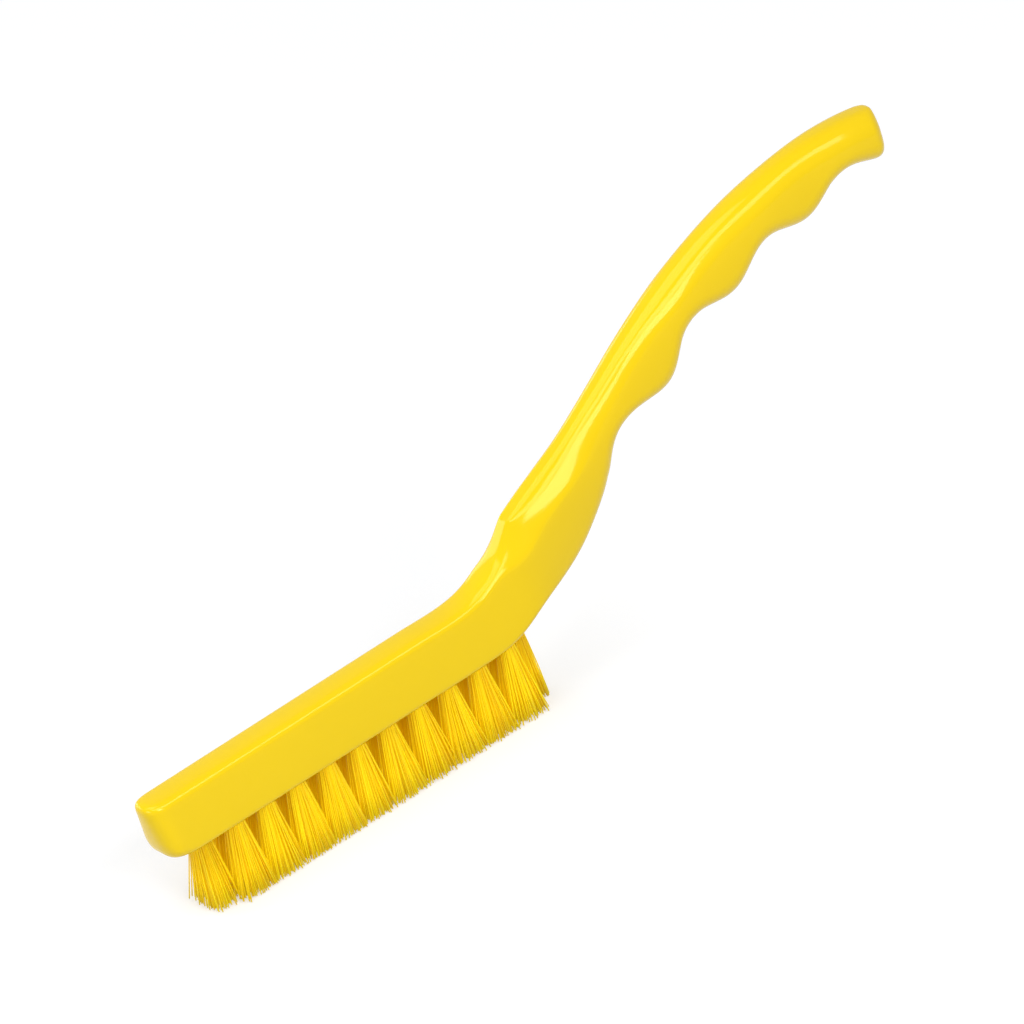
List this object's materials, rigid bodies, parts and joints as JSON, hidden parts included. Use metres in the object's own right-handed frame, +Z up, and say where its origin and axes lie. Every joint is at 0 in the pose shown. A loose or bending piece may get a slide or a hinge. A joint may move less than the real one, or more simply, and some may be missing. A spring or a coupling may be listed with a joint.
{
  "type": "narrow detail brush",
  "caption": "Narrow hand brush for details: a slim straight head with two rows of stiff bristle tufts and one more tuft at each end, and a raised, curved grip with finger grooves.",
  "frame": {"origin": "bottom centre of the brush's bounding box, on the plane of the bristle tips", "axes": "+Z up; +X along the brush from the toe of the head towards the end of the grip; +Y across the head"},
  "size_m": [0.2086, 0.0158, 0.0822],
  "materials": {
    "body_plastic": "glossy yellow injection-moulded polypropylene",
    "bristle_filament": "yellow extruded polyester filament, satin",
    "anchor_wire": "flat stainless wire, as drawn"
  },
  "bodies": {
    "root": {"brush_body": "body_plastic", "tuft_near_01": "bristle_filament", "tuft_near_02": "bristle_filament", "tuft_near_03": "bristle_filament", "tuft_near_04": "bristle_filament", "tuft_near_05": "bristle_filament", "tuft_near_06": "bristle_filament", "tuft_near_07": "bristle_filament", "tuft_near_08": "bristle_filament", "tuft_near_09": "bristle_filament", "tuft_near_10": "bristle_filament", "tuft_far_01": "bristle_filament", "tuft_far_02": "bristle_filament", "tuft_far_03": "bristle_filament", "tuft_far_04": "bristle_filament", "tuft_far_05": "bristle_filament", "tuft_far_06": "bristle_filament", "tuft_far_07": "bristle_filament", "tuft_far_08": "bristle_filament", "tuft_far_09": "bristle_filament", "tuft_far_10": "bristle_filament", "tuft_toe": "bristle_filament", "tuft_heel": "bristle_filament", "anchor_near_01": "anchor_wire", "anchor_near_02": "anchor_wire", "anchor_near_03": "anchor_wire", "anchor_near_04": "anchor_wire", "anchor_near_05": "anchor_wire", "anchor_near_06": "anchor_wire", "anchor_near_07": "anchor_wire", "anchor_near_08": "anchor_wire", "anchor_near_09": "anchor_wire", "anchor_near_10": "anchor_wire", "anchor_far_01": "anchor_wire", "anchor_far_02": "anchor_wire", "anchor_far_03": "anchor_wire", "anchor_far_04": "anchor_wire", "anchor_far_05": "anchor_wire", "anchor_far_06": "anchor_wire", "anchor_far_07": "anchor_wire", "anchor_far_08": "anchor_wire", "anchor_far_09": "anchor_wire", "anchor_far_10": "anchor_wire", "anchor_toe": "anchor_wire", "anchor_heel": "anchor_wire"}
  },
  "joints": []
}
